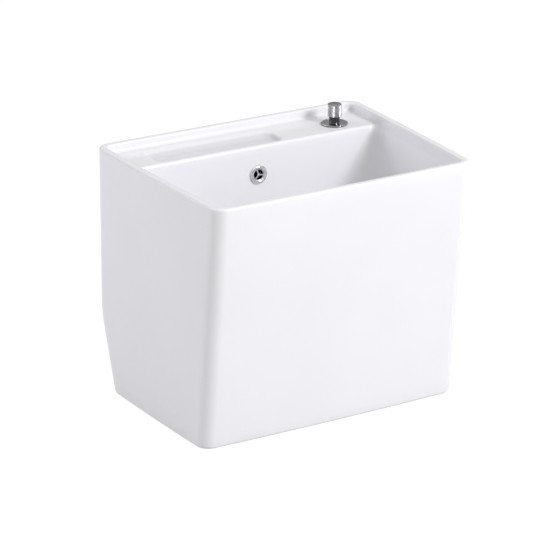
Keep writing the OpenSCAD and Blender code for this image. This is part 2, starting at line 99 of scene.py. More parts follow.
def startCircle(count, radius=1):
    # a circle of edges whose points carry their order round it
    bm = bmesh.new()
    order = bm.verts.layers.int.new("order")
    start = bmesh.ops.create_circle(bm, segments=count, radius=radius, cap_ends=False)["verts"]
    start.sort(key=lambda v: v.index)
    for i, v in enumerate(start):
        v[order] = i
    return bm, order, start


def pullOut(bm, edges):
    # pulls a circle of edges out into a new one; gives its points, the faces between and its edges
    grown = bmesh.ops.extrude_edge_only(bm, edges=edges)["geom"]
    verts = [g for g in grown if isinstance(g, bmesh.types.BMVert)]
    faces = [g for g in grown if isinstance(g, bmesh.types.BMFace)]
    edges = [g for g in grown if isinstance(g, bmesh.types.BMEdge) and len(g.link_faces) == 1]
    return verts, faces, edges


def standFor(piece, node):
    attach(piece, frame["nodes"][node]["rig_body"])
    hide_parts(node)


def addNode(tree, kind, place, **settings):
    node = tree.nodes.new(kind)
    node.location = place
    for key, value in settings.items():
        setattr(node, key, value)
    return node


def newGroup(name, inputs, outputs):
    group = bpy.data.node_groups.new(name, "ShaderNodeTree")
    for label, kind, value in inputs:
        socket = group.interface.new_socket(name=label, in_out="INPUT", socket_type=kind)
        socket.default_value = value
    for label, kind in outputs:
        group.interface.new_socket(name=label, in_out="OUTPUT", socket_type=kind)
    return group, addNode(group, "NodeGroupInput", (-800, 0)), addNode(group, "NodeGroupOutput", (600, 0))


mottleLook = dict(detail=4, lowest=0.3, highest=0.7)


def makeMottle():
    # soft blotches between two values, for colour and roughness that change over a surface
    group, start, end = newGroup("mottle",
        [("Scale", "NodeSocketFloat", 20.0), ("Stretch", "NodeSocketVector", (1, 1, 1)),
         ("Low", "NodeSocketFloat", 0.0), ("High", "NodeSocketFloat", 1.0)],
        [("Value", "NodeSocketFloat")])
    place = addNode(group, "ShaderNodeTexCoord", (-800, 300))
    stretch = addNode(group, "ShaderNodeVectorMath", (-600, 200), operation="MULTIPLY")
    noise = addNode(group, "ShaderNodeTexNoise", (-400, 200))
    noise.inputs["Detail"].default_value = mottleLook["detail"]
    spread = addNode(group, "ShaderNodeMapRange", (0, 100))
    spread.inputs["From Min"].default_value = mottleLook["lowest"]
    spread.inputs["From Max"].default_value = mottleLook["highest"]
    link = group.links.new
    link(place.outputs["Object"], stretch.inputs[0])
    link(start.outputs["Stretch"], stretch.inputs[1])
    link(stretch.outputs[0], noise.inputs["Vector"])
    link(start.outputs["Scale"], noise.inputs["Scale"])
    link(noise.outputs["Fac"], spread.inputs["Value"])
    link(start.outputs["Low"], spread.inputs["To Min"])
    link(start.outputs["High"], spread.inputs["To Max"])
    link(spread.outputs["Result"], end.inputs["Value"])
    return group


rippleLook = dict(waveDetail=1, grainDetail=3)


def makeRipple():
    # height of a surface that is slightly wavy, with a fine grain over it
    group, start, end = newGroup("ripple",
        [("Wave Scale", "NodeSocketFloat", 8.0), ("Grain Scale", "NodeSocketFloat", 600.0),
         ("Grain", "NodeSocketFloat", 0.1), ("Stretch", "NodeSocketVector", (1, 1, 1))],
        [("Height", "NodeSocketFloat")])
    place = addNode(group, "ShaderNodeTexCoord", (-800, 300))
    stretch = addNode(group, "ShaderNodeVectorMath", (-600, 200), operation="MULTIPLY")
    wave = addNode(group, "ShaderNodeTexNoise", (-400, 300))
    wave.inputs["Detail"].default_value = rippleLook["waveDetail"]
    grain = addNode(group, "ShaderNodeTexNoise", (-400, 0))
    grain.inputs["Detail"].default_value = rippleLook["grainDetail"]
    amount = addNode(group, "ShaderNodeMath", (-100, 0), operation="MULTIPLY")
    total = addNode(group, "ShaderNodeMath", (200, 100), operation="ADD")
    link = group.links.new
    link(place.outputs["Object"], stretch.inputs[0])
    link(start.outputs["Stretch"], stretch.inputs[1])
    link(stretch.outputs[0], wave.inputs["Vector"])
    link(stretch.outputs[0], grain.inputs["Vector"])
    link(start.outputs["Wave Scale"], wave.inputs["Scale"])
    link(start.outputs["Grain Scale"], grain.inputs["Scale"])
    link(grain.outputs["Fac"], amount.inputs[0])
    link(start.outputs["Grain"], amount.inputs[1])
    link(wave.outputs["Fac"], total.inputs[0])
    link(amount.outputs[0], total.inputs[1])
    link(total.outputs[0], end.inputs["Height"])
    return group


def useGroup(tree, group, place, **values):
    node = addNode(tree, "ShaderNodeGroup", place, node_tree=group)
    for label, value in values.items():
        node.inputs[label.replace("_", " ")].default_value = value
    return node


def makeRecessShadeMask():
    # 1 inside the deck recess, 0 elsewhere: a soft-edged box in object space that marks where the glaze
    #                                        gets painted shade
    group, start, end = newGroup("recessShadeMask",
        [("Centre", "NodeSocketVector", (0, 0, 0)), ("Half", "NodeSocketVector", (1, 1, 1)),
         ("Soft", "NodeSocketFloat", 0.004)], [("Value", "NodeSocketFloat")])
    place = addNode(group, "ShaderNodeTexCoord", (-800, 300))
    away = addNode(group, "ShaderNodeVectorMath", (-600, 200), operation="SUBTRACT")
    size = addNode(group, "ShaderNodeVectorMath", (-450, 200), operation="ABSOLUTE")
    past = addNode(group, "ShaderNodeVectorMath", (-300, 200), operation="SUBTRACT")
    split = addNode(group, "ShaderNodeSeparateXYZ", (-150, 200))
    flat = addNode(group, "ShaderNodeMath", (0, 200), operation="MAXIMUM")
    most = addNode(group, "ShaderNodeMath", (150, 200), operation="MAXIMUM")
    share = addNode(group, "ShaderNodeMath", (300, 200), operation="DIVIDE")
    turn = addNode(group, "ShaderNodeMath", (450, 200), operation="MULTIPLY", use_clamp=True)
    turn.inputs[1].default_value = -1
    link = group.links.new
    link(place.outputs["Object"], away.inputs[0])
    link(start.outputs["Centre"], away.inputs[1])
    link(away.outputs[0], size.inputs[0])
    link(size.outputs[0], past.inputs[0])
    link(start.outputs["Half"], past.inputs[1])
    link(past.outputs[0], split.inputs[0])
    link(split.outputs["X"], flat.inputs[0])
    link(split.outputs["Y"], flat.inputs[1])
    link(flat.outputs[0], most.inputs[0])
    link(split.outputs["Z"], most.inputs[1])
    link(most.outputs[0], share.inputs[0])
    link(start.outputs["Soft"], share.inputs[1])
    link(share.outputs[0], turn.inputs[0])
    link(turn.outputs[0], end.inputs["Value"])
    return group


mottle = makeMottle()
ripple = makeRipple()
recessShadeMask = makeRecessShadeMask()
# the deck recess, whose glaze is darkened with painted shade
recessShadeBox = dict(middle=-0.060, fromBack=0.0635, fromTop=0.0245, half=(0.126, 0.0360, 0.0085), soft=0.0035)


def paintRecessShade(tree, colour, tone):
    # multiplies a colour by a darker tone inside the deck recess: painted shade
    centre = (recessShadeBox["middle"], basinHigh.y - recessShadeBox["fromBack"], basinHigh.z - recessShadeBox["fromTop"])
    spot = useGroup(tree, recessShadeMask, (-400, 600), Centre=centre, Half=recessShadeBox["half"], Soft=recessShadeBox["soft"])
    deeper = addNode(tree, "ShaderNodeMix", (-200, 400), data_type="RGBA", blend_type="MULTIPLY")
    deeper.inputs["B"].default_value = (*tone, 1)
    tree.links.new(spot.outputs["Value"], deeper.inputs["Factor"])
    tree.links.new(colour, deeper.inputs["A"])
    return deeper.outputs["Result"]


def makeFinish(name, look):
    # one finish: two tones, a rough and a smooth value, and a bump, each from the shared groups
    material = bpy.data.materials.new(name)
    material.use_nodes = True
    tree = material.node_tree
    shader = tree.nodes["Principled BSDF"]
    for label, value in look.get("shader", {}).items():
        shader.inputs[label].default_value = value
    stretch = look.get("stretch", (1, 1, 1))
    tone = useGroup(tree, mottle, (-700, 300), Scale=look["toneScale"], Stretch=stretch)
    mix = addNode(tree, "ShaderNodeMix", (-400, 300), data_type="RGBA")
    mix.inputs["A"].default_value = (*look["tones"][0], 1)
    mix.inputs["B"].default_value = (*look["tones"][1], 1)
    rough = useGroup(tree, mottle, (-700, 0), Scale=look["roughScale"], Stretch=stretch,
        Low=look["rough"][0], High=look["rough"][1])
    height = useGroup(tree, ripple, (-700, -300), Wave_Scale=look["waveScale"], Stretch=stretch,
        Grain_Scale=look["grainScale"], Grain=look["grain"])
    bump = addNode(tree, "ShaderNodeBump", (-400, -300))
    bump.inputs["Strength"].default_value = look["bump"]
    bump.inputs["Distance"].default_value = look["bumpDepth"]
    link = tree.links.new
    link(tone.outputs["Value"], mix.inputs["Factor"])
    colour = mix.outputs["Result"]
    # painted shade: the glaze is darker in the deck recess
    if "recessShadeTone" in look:
        colour = paintRecessShade(tree, colour, look["recessShadeTone"])
    link(colour, shader.inputs["Base Color"])
    link(rough.outputs["Value"], shader.inputs["Roughness"])
    link(height.outputs["Height"], bump.inputs["Height"])
    link(bump.outputs["Normal"], shader.inputs["Normal"])
    return material


metal = {"Metallic": 1.0}
finishLooks = {
    # the glaze's last entry is the tone of the painted shade in its deck recess
    "glaze": dict(tones=((0.805, 0.798, 0.832), (0.833, 0.826, 0.862)), toneScale=5, rough=(0.10, 0.17),
        roughScale=9, waveScale=16, grainScale=900, grain=0.012, bump=0.35, bumpDepth=0.0015,
        shader={"IOR": 1.5, "Specular IOR Level": 0.3}, recessShadeTone=(0.82, 0.82, 0.825)),
    # near black: painted shade inside the overflow's passage
    "ductPaintedShade": dict(tones=((0.016, 0.015, 0.014), (0.030, 0.028, 0.026)), toneScale=60, rough=(0.8, 0.95),
        roughScale=90, waveScale=150, grainScale=2500, grain=0.4, bump=0.4, bumpDepth=0.0003,
        shader={"Specular IOR Level": 0.0}),
    "bisque": dict(tones=((0.70, 0.66, 0.60), (0.80, 0.77, 0.71)), toneScale=40, rough=(0.75, 0.92),
        roughScale=60, waveScale=120, grainScale=2500, grain=0.5, bump=0.5, bumpDepth=0.0004),
    "chrome": dict(tones=((0.84, 0.85, 0.84), (0.91, 0.915, 0.905)), toneScale=60, rough=(0.04, 0.11),
        roughScale=120, waveScale=90, grainScale=3000, grain=0.03, bump=0.12, bumpDepth=0.0002,
        shader=metal),
    # a darker copy of chrome: painted shade standing for the dark room it reflects
    "chromePaintedDark": dict(tones=((0.34, 0.345, 0.35), (0.44, 0.445, 0.45)), toneScale=90, rough=(0.05, 0.12),
        roughScale=140, waveScale=110, grainScale=3000, grain=0.03, bump=0.14, bumpDepth=0.0002,
        shader=metal),
    # near-black metal for the band round the knob flange's neck
    "nearBlackMetal": dict(tones=((0.05, 0.05, 0.052), (0.10, 0.10, 0.104)), toneScale=120, rough=(0.06, 0.14),
        roughScale=160, waveScale=120, grainScale=3000, grain=0.05, bump=0.12, bumpDepth=0.0002,
        shader=metal),
    "knurledChrome": dict(tones=((0.44, 0.445, 0.455), (0.62, 0.625, 0.635)), toneScale=300,
        rough=(0.26, 0.38), roughScale=500, waveScale=400, grainScale=4000, grain=0.1, bump=0.15,
        bumpDepth=0.0002, shader=metal),
    "steel": dict(tones=((0.52, 0.53, 0.54), (0.66, 0.67, 0.68)), toneScale=60, rough=(0.24, 0.38),
        roughScale=160, stretch=(6, 6, 0.5), waveScale=300, grainScale=1500, grain=0.4, bump=0.2,
        bumpDepth=0.0002, shader=metal),
    "brass": dict(tones=((0.68, 0.48, 0.20), (0.80, 0.60, 0.29)), toneScale=80, rough=(0.20, 0.36),
        roughScale=200, waveScale=200, grainScale=2000, grain=0.3, bump=0.2, bumpDepth=0.0002,
        shader=metal),
    "rubber": dict(tones=((0.030, 0.030, 0.032), (0.055, 0.055, 0.058)), toneScale=120,
        rough=(0.62, 0.82), roughScale=250, waveScale=200, grainScale=3500, grain=0.6, bump=0.35,
        bumpDepth=0.0003),
    "nylon": dict(tones=((0.72, 0.72, 0.70), (0.80, 0.80, 0.78)), toneScale=90, rough=(0.36, 0.48),
        roughScale=200, waveScale=150, grainScale=2500, grain=0.3, bump=0.2, bumpDepth=0.0002),
}
finishes = {name: makeFinish(name, look) for name, look in finishLooks.items()}
print("finishes made:", len(finishes))

nodeFinish = {
    "overflow_ring": "chrome", "overflow_grid": "chrome", "overflow_gasket": "rubber",
    "escutcheon": "chrome", "escutcheon_gasket": "rubber", "guide_bush": "nylon",
    "deck_washer": "rubber", "deck_nut": "brass", "knob": "knurledChrome", "knob_screw": "steel",
    "lift_rod": "steel", "rod_strap": "brass", "strap_screw": "brass", "spring_clip": "steel",
    "pivot_rod": "steel", "pivot_ball": "nylon", "ball_seats": "nylon", "pivot_nut": "chrome",
    "drain_flange": "chrome", "flange_gasket": "rubber", "drain_body": "chrome",
    "cone_washer": "rubber", "slip_washer": "nylon", "back_nut": "brass", "plug_cap": "chrome",
    "plug_seal": "rubber", "plug_stem": "nylon", "tailpiece": "chrome", "basin": "glaze",
}
for nodeName, finishName in nodeFinish.items():
    cadNode = frame["nodes"][nodeName]
    for slot in cadNode.material_slots:
        slot.material = finishes[finishName]
print("nodes finished:", len(nodeFinish))


basin = dict(
    width=0.5, sideTaper=0.012, sideBow=0.003, frontBow=0.004, frontLean=0.042, wall=0.012,
    bendHeight=0.130, bendDepth=0.043, bendSoft=0.018, cornerRadius=0.024, footRound=0.005,
    rimWidth=0.013, rimRound=0.004, rimEase=0.0035, rimWallStart=0.0035, deckDepth=0.102,
    deckDrop=0.015, deckThickness=0.020, deckEdge=0.0045, deckFillet=0.006, deckTouch=0.0001,
    lipBand=0.015, frontRise=0.003, filletRise=0.0003, trayCorner=0.014,
    recessLeft=-0.182, recessRight=0.062, recessLip=0.008, recessBack=0.016, recessDepth=0.009,
    recessEndSlope=0.012, recessBackSlope=0.024, recessFrontSlope=0.004, recessRadii=(0.020, 0.012),
    recessEase=0.45, recessHalvings=24,
    bowlRise=0.001, bowlFloor=0.170, bowlFoot=0.194, bowlRadii=(0.016, 0.096),
    bowlIn=(0.038, 0.016, 0.010), footDraw=0.040, floorDrop=0.002, drainY=-0.035, drainHole=0.023,
    drainFlat=0.046, drainRound=0.0025, bossRadius=0.048, bossUnder=0.126, bossRoot=0.004,
    bossRound=0.002, ceilingSide=0.340, ceilingFront=0.256, skinDrop=0.006, skinGap=0.001,
    skinCorner=0.070, leastSide=0.001, smoothAngle=40,
)
basinSteps = dict(
    rear=90, corner=12, side=36, front=40,  # points of a ring
    rearFits=4, frontFits=6,  # rounds in which the corners of a ring settle
    hole=8, bend=4, flat=4, floor=16, foot=12, bowl=24, deckEdge=7, lip=11, deck=30, fillet=6,
    rimWall=2, rimTop=3, rimRound=7, upperWall=14, kink=8, lowerWall=6, glazedFoot=3, sole=2,
    skirt=22, ceiling=10, skin=14, under=8,  # rings of each stretch
)
backY, frontY, rimZ = basinHigh.y, basinLow.y, basinHigh.z
depth = backY - frontY
lipZ = rimZ - basin["rimRound"]
deckZ = rimZ - basin["deckDrop"]
filletZ = deckZ + basin["deckFillet"]
bowlBack = backY - basin["deckDepth"]
bowlTop = deckZ + basin["bowlRise"]
ceiling = (deckZ - basin["deckThickness"], basin["ceilingSide"], basin["ceilingFront"])


def halfWidth(y):
    # half the outside width at y: it tapers to the front and bows out a little
    share = (backY - y) / depth
    return basin["width"] / 2 - basin["sideTaper"] * share + 4 * basin["sideBow"] * share * (1 - share)


def sideSlope(y):
    # how much the half width grows per metre of y
    share = (backY - y) / depth
    return (basin["sideTaper"] - 4 * basin["sideBow"] * (1 - 2 * share)) / depth


def frontAt(z):
    # the front leans back from the rim down to the floor
    return frontY + basin["frontLean"] * max(0, 1 - z / lipZ)


def backAt(z):
    # upright above the bend, sloping in below it, with a soft change between
    low, high = basin["bendHeight"] - basin["bendSoft"], basin["bendHeight"] + basin["bendSoft"]
    slope = basin["bendDepth"] / basin["bendHeight"]
    if z >= high:
        return backY
    if z <= low:
        return backY - basin["bendDepth"] + slope * z
    return backY - slope * (high - z) ** 2 / (2 * (high - low))


def bowed(x):
    # how far the front is set back beside its middle
    return basin["frontBow"] * (2 * x / basin["width"]) ** 2


def ringPoints(rear, side, front, z, rearRadius, frontRadius=None, sideFront=None):
    # a ring of the casting: its right half from the middle of the rear to that of the front, mirrored
    # side is an inset; z is one height, or the heights of the rear, the side's rear end and the front
    rearZ, sideZ, frontZ = z if isinstance(z, tuple) else (z, z, z)
    if frontRadius is None:
        frontRadius = rearRadius
    if sideFront is None:
        sideFront = side
    span = max(rear - front - rearRadius - frontRadius, basin["leastSide"])
    drift = (sideFront - side) / span  # the side's inset may grow towards the front
    rearTurn = 0
    for _ in range(basinSteps["rearFits"]):
        tangentY = rear - rearRadius - rearRadius * sin(rearTurn)
        rearTurn = atan(sideSlope(tangentY) + drift)
    rearX = halfWidth(tangentY) - side - rearRadius * cos(rearTurn)
    sideTurn, frontTurn = rearTurn, 0
    centreX = halfWidth(front + frontRadius) - sideFront - frontRadius
    for _ in range(basinSteps["frontFits"]):
        centreY = front + bowed(centreX + frontRadius * sin(frontTurn)) + frontRadius * cos(frontTurn)
        lowY = centreY - frontRadius * sin(sideTurn)
        sideTurn = atan(sideSlope(lowY) + drift)
        centreX = halfWidth(lowY) - sideFront - frontRadius * cos(sideTurn)
        frontTurn = atan(8 * basin["frontBow"] * centreX / basin["width"] ** 2)
    points = []
    for i in range(basinSteps["rear"]):
        points.append(Vector((rearX * i / basinSteps["rear"], rear, rearZ)))
    for i in range(basinSteps["corner"]):
        share = i / basinSteps["corner"]
        angle = pi / 2 - share * (pi / 2 + rearTurn)
        y = rear - rearRadius + rearRadius * sin(angle)
        up = rearZ + (sideZ - rearZ) * (1 - cos(share * pi / 2))
        points.append(Vector((rearX + rearRadius * cos(angle), y, up)))
    for i in range(basinSteps["side"]):
        share = i / basinSteps["side"]
        y = lerp(tangentY, lowY, share)
        inset = lerp(side, sideFront, share)
        points.append(Vector((halfWidth(y) - inset, y, lerp(sideZ, frontZ, share))))
    for i in range(basinSteps["corner"]):
        angle = -sideTurn - i / basinSteps["corner"] * (pi / 2 - frontTurn - sideTurn)
        y = centreY + frontRadius * sin(angle)
        points.append(Vector((centreX + frontRadius * cos(angle), y, frontZ)))
    lastX = centreX + frontRadius * sin(frontTurn)
    for i in range(basinSteps["front"] + 1):
        x = lastX * (1 - i / basinSteps["front"])
        points.append(Vector((x, front + bowed(x), frontZ)))
    mirrored = [Vector((-p.x, p.y, p.z)) for p in points[-2:0:-1]]
    return points + mirrored


def outline(inset, z, radius=None):
    # a ring that follows the casting's outside, drawn in by one inset all round
    rearZ, frontZ = (z[0], z[2]) if isinstance(z, tuple) else (z, z)
    if radius is None:
        radius = basin["cornerRadius"] - inset
    return ringPoints(backAt(rearZ) - inset, inset, frontAt(frontZ) + inset, z, radius)


def recessAt(x, y):
    # depth of the soap recess: nested rounded rectangles, from its edge to its floor
    def outside(share):
        radius = lerp(*basin["recessRadii"], share)
        left = basin["recessLeft"] + basin["recessEndSlope"] * share
        right = basin["recessRight"] - basin["recessEndSlope"] * share
        near = bowlBack + basin["recessLip"] + basin["recessFrontSlope"] * share
        far = backY - basin["rimWidth"] - basin["recessBack"] - basin["recessBackSlope"] * share
        across = max(left + radius - x, x - right + radius, 0)
        along = max(near + radius - y, y - far + radius, 0)
        return hypot(across, along) - radius

    if outside(0) >= 0:
        return 0
    low, high = 0.0, 1.0
    if outside(1) <= 0:
        low = 1.0
    else:
        for _ in range(basin["recessHalvings"]):
            middle = (low + high) / 2
            if outside(middle) <= 0:
                low = middle
            else:
                high = middle
    ease = basin["recessEase"]
    if low < ease:
        fall = low * low / (2 * ease)
    elif low > 1 - ease:
        fall = 1 - ease - (1 - low) ** 2 / (2 * ease)
    else:
        fall = low - ease / 2
    return basin["recessDepth"] * fall / (1 - ease)


def bowlShare(z):
    return (bowlTop - z) / (bowlTop - basin["bowlFoot"])  # 0 at the bowl's top, 1 at its foot


def bowlRing(z, inset=0.0, height=None):
    # the bowl's inside at z, drawn in by an inset, and put at another height where one is given
    share = bowlShare(z)
    sideIn, frontIn, rearIn = basin["bowlIn"]
    return ringPoints(bowlBack - rearIn * share - inset, basin["rimWidth"] + sideIn * share + inset,
        frontAt(z) + basin["rimWidth"] + frontIn * share + inset, z if height is None else height,
        lerp(*basin["bowlRadii"], share) - inset)


def drainCircle(radius, z, like):
    # a circle round the drain whose points face those of the ring it joins
    centre = Vector((0, basin["drainY"], 0))
    found = []
    for p in like:
        out = Vector((p.x, p.y, 0)) - centre
        out.normalize()
        spot = centre + out * radius
        found.append(Vector((spot.x, spot.y, z)))
    return found


def towardsDrain(points, radius, z, share):
    inner = drainCircle(radius, z, points)
    return [p.lerp(q, share) for p, q in zip(points, inner)]


def drainRings(footRing):
    # up the drain hole, round its edge and out over the bowl's floor
    hole, flat, turn = basin["drainHole"], basin["drainFlat"], basin["drainRound"]
    under, floorZ = basin["bossUnder"], basin["bowlFloor"]
    rings = [drainCircle(hole, under, footRing)]
    for z in steps(under, floorZ - turn, basinSteps["hole"]):
        rings.append(drainCircle(hole, z, footRing))
    for a in steps(0, pi / 2, basinSteps["bend"]):
        rings.append(drainCircle(hole + turn * (1 - cos(a)), floorZ - turn * (1 - sin(a)), footRing))
    for radius in steps(hole + turn, flat, basinSteps["flat"]):
        rings.append(drainCircle(radius, floorZ, footRing))
    for share in steps(1, 0, basinSteps["floor"]):
        rings.append(towardsDrain(footRing, flat, floorZ, share))
    return rings


def bowlRings():
    # round the bowl's foot and up its walls
    foot = basin["bowlFoot"]
    sweep = foot - basin["bowlFloor"] - basin["floorDrop"]
    rings = []
    for a in steps(pi / 2, 0, basinSteps["foot"]):
        rings.append(bowlRing(foot, basin["footDraw"] * (1 - cos(a)), foot - sweep * sin(a)))
    for z in steps(foot, deckZ - basin["deckEdge"], basinSteps["bowl"]):
        rings.append(bowlRing(z))
    return rings


def deckRings():
    # the rear goes over the bowl's edge, back across the deck and up its fillet
    # meanwhile the sides and the front rise a little up the rim's inside
    side, edge, fillet = basin["rimWidth"], basin["deckEdge"], basin["deckFillet"]
    rise, lip = basin["frontRise"], bowlBack + basin["lipBand"]
    topRadius = lerp(*basin["bowlRadii"], bowlShare(deckZ - edge))
    rings = []
    for share in steps(0, 1, basinSteps["deckEdge"]):
        a = share * pi / 2
        frontZ = lerp(deckZ - edge, filletZ, share)
        rings.append(ringPoints(bowlBack + edge * (1 - cos(a)), side, frontAt(frontZ) + side,
            (deckZ - edge + edge * sin(a), frontZ, frontZ), lerp(topRadius, fillet, share), topRadius))
    deckRows = steps(bowlBack + edge, lip, basinSteps["lip"])
    deckRows += steps(lip, backY - side - fillet, basinSteps["deck"])
    for i, y in enumerate(deckRows):
        frontZ = filletZ + rise * (i + 1) / len(deckRows)
        points = ringPoints(y, side, frontAt(frontZ) + side, (deckZ, filletZ, frontZ), fillet, topRadius)
        for p in points:
            if p.z < deckZ + basin["deckTouch"] and p.y > bowlBack:
                p.z -= recessAt(p.x, p.y)
        rings.append(points)
    for share in steps(0, 1, basinSteps["fillet"]):
        a = share * pi / 2
        z = (deckZ + fillet * (1 - cos(a)), filletZ + rise * share,
            filletZ + rise + basin["filletRise"] * share)
        rings.append(ringPoints(backY - side - fillet * (1 - sin(a)), side, frontAt(z[2]) + side, z,
            lerp(fillet, basin["trayCorner"], share), lerp(topRadius, basin["trayCorner"], share)))
    return rings


def rimRings():
    # up the rim's inside, over its eased inner edge, its flat top and its rounded outer edge
    side, ease, turn = basin["rimWidth"], basin["rimEase"], basin["rimRound"]
    rings = []
    for z in steps(filletZ + basin["rimWallStart"], rimZ - ease, basinSteps["rimWall"]):
        rings.append(outline(side, z, basin["trayCorner"]))
    for a in steps(0, pi / 2, basinSteps["fillet"]):
        drawn = ease * (1 - cos(a))
        rings.append(outline(side - drawn, rimZ - ease * (1 - sin(a)), basin["trayCorner"] + drawn))
    for inset in steps(side - ease, turn, basinSteps["rimTop"]):
        rings.append(outline(inset, rimZ))
    for a in steps(0, pi / 2, basinSteps["rimRound"]):
        rings.append(outline(turn * (1 - sin(a)), rimZ - turn * (1 - cos(a))))
    return rings


def wallRings():
    # down the outside to the foot's rounding
    bendLow, bendHigh = basin["bendHeight"] - basin["bendSoft"], basin["bendHeight"] + basin["bendSoft"]
    heights = steps(lipZ, bendHigh, basinSteps["upperWall"])
    heights += steps(bendHigh, bendLow, basinSteps["kink"])
    heights += steps(bendLow, basin["footRound"], basinSteps["lowerWall"])
    return [outline(0, z) for z in heights]


def footRings():
    turn, angles = basin["footRound"], steps(0, pi / 2, basinSteps["fillet"])
    return [outline(turn * (1 - cos(a)), turn * (1 - sin(a))) for a in angles]


def skirtRings():
    # across the sole and up the skirt's inside
    wall = basin["wall"]
    rings = [outline(inset, 0) for inset in steps(basin["footRound"], wall, basinSteps["sole"])]
    for share in steps(0, 1, basinSteps["skirt"]):
        rings.append(outline(wall, tuple(height * share for height in ceiling)))
    return rings


def skinRings():
    # under the deck to the bowl's back, down the bowl's outer skin and round its foot
    wall, gap, foot = basin["wall"], basin["skinGap"], basin["bowlFoot"]
    corner, grown = basin["cornerRadius"] - wall, basin["rimWidth"] - wall
    sideIn, frontIn, rearIn = basin["bowlIn"]
    skinFoot, underZ = foot - basin["skinDrop"], basin["bowlFloor"] - wall
    rings = []
    for share in steps(0, 1, basinSteps["ceiling"]):
        inset = wall + gap * share
        rings.append(ringPoints(lerp(backY - wall, bowlBack + wall, share), inset,
            frontAt(ceiling[2]) + inset, ceiling, lerp(corner, basin["bowlRadii"][0] + wall, share),
            lerp(corner, basin["skinCorner"], share)))
    for share in steps(0, 1, basinSteps["skin"]):
        z = tuple(lerp(height, skinFoot, share) for height in ceiling)
        rear, side, front = (bowlShare(height) for height in z)
        rings.append(ringPoints(bowlBack + wall - rearIn * rear, max(grown + sideIn * side, wall + gap),
            frontAt(z[2]) + max(grown + frontIn * front, wall + gap), z,
            lerp(*basin["bowlRadii"], rear) + wall, lerp(*basin["bowlRadii"], front) + wall,
            max(grown + sideIn * front, wall + gap)))
    for a in steps(0, pi / 2, basinSteps["under"]):
        inset = basin["footDraw"] * (1 - cos(a)) - wall
        rings.append(bowlRing(foot, inset, skinFoot - (skinFoot - underZ) * sin(a)))
    return rings


def bossRings(skin, footRing):
    # in to the boss round the drain, down it and across to the drain hole
    radius, root, turn = basin["bossRadius"], basin["bossRoot"], basin["bossRound"]
    low, underZ = basin["bossUnder"], basin["bowlFloor"] - basin["wall"]
    rings = []
    for share in steps(0, 1, basinSteps["under"]):
        rings.append(towardsDrain(skin, radius + root, underZ, share))
    for a in steps(0, pi / 2, basinSteps["bend"]):
        rings.append(drainCircle(radius + root * (1 - sin(a)), underZ - root * (1 - cos(a)), footRing))
    for z in steps(underZ - root, low + turn, basinSteps["bend"]):
        rings.append(drainCircle(radius, z, footRing))
    for a in steps(0, pi / 2, basinSteps["bend"]):
        rings.append(drainCircle(radius - turn * (1 - cos(a)), low + turn * (1 - sin(a)), footRing))
    for inner in steps(radius - turn, basin["drainHole"], basinSteps["flat"]):
        rings.append(drainCircle(inner, low, footRing))
    return rings


def basinRings():
    # (points, finish) from the drain hole up through the bowl, over the rim and back underneath
    footRing = bowlRing(basin["bowlFloor"] + basin["floorDrop"], basin["footDraw"])
    foot, count = footRings(), basinSteps["glazedFoot"]
    glazed = drainRings(footRing) + bowlRings() + deckRings() + rimRings() + wallRings() + foot[:count]
    bare = foot[count:] + skirtRings() + skinRings()
    bare += bossRings(bare[-1], footRing)
    return [(points, 0) for points in glazed] + [(points, 1) for points in bare]


def makeLoft(rows):
    # one circle of edges, pulled from ring to ring and sewn to its start
    first = rows[0][0]
    bm, order, start = startCircle(len(first))
    for v in start:
        v.co = first[v[order]]
    edges = list(bm.edges)
    for points, finish in rows[1:]:
        verts, faces, edges = pullOut(bm, edges)
        for v in verts:
            v.co = points[v[order]]
        for face in faces:
            face.material_index = finish
    bmesh.ops.remove_doubles(bm, verts=bm.verts[:], dist=meshing["weld"])
    bmesh.ops.recalc_face_normals(bm, faces=bm.faces[:])
    return bm


def makeBlock(name, low, high, bevelled=0.0, finish=1):
    # a box from corner to corner; the two edges of its top that run front to back can be rounded
    bm = bmesh.new()
    bmesh.ops.create_cube(bm, size=1)
    low, high = Vector(low), Vector(high)
    middle = (low + high) / 2
    bmesh.ops.scale(bm, vec=high - low, verts=bm.verts[:])
    bmesh.ops.translate(bm, vec=middle, verts=bm.verts[:])
    if bevelled:
        topEdges = [e for e in bm.edges if min(v.co.z for v in e.verts) > middle.z
            and min(v.co.y for v in e.verts) < middle.y < max(v.co.y for v in e.verts)]
        bmesh.ops.bevel(bm, geom=topEdges, offset=bevelled, segments=meshing["bevelSteps"], profile=0.5,
            affect="EDGES", material=-1)
    for face in bm.faces:
        face.material_index = finish
    return finishMesh(bm, name, [finishes["glaze"], finishes["bisque"]])


def makeRod(name, radius, length, place):
    bm = bmesh.new()
    bmesh.ops.create_cone(bm, cap_ends=True, segments=meshing["roundSteps"], radius1=radius,
        radius2=radius, depth=length)
    bmesh.ops.transform(bm, matrix=place, verts=bm.verts[:])
    return finishMesh(bm, name, [finishes["glaze"]])


def carve(piece, tool, how):
    # applies one boolean through the evaluated mesh and removes the tool
    modifier = piece.modifiers.new(how, "BOOLEAN")
    modifier.operation = how
    modifier.solver = "MANIFOLD"
    modifier.object = tool
    graph = bpy.context.evaluated_depsgraph_get()
    mesh = bpy.data.meshes.new_from_object(piece.evaluated_get(graph))
    piece.modifiers.clear()
    old = piece.data
    piece.data = mesh
    bpy.data.meshes.remove(old)
    bpy.data.objects.remove(tool)
    print("basin", how.lower(), len(mesh.polygons))


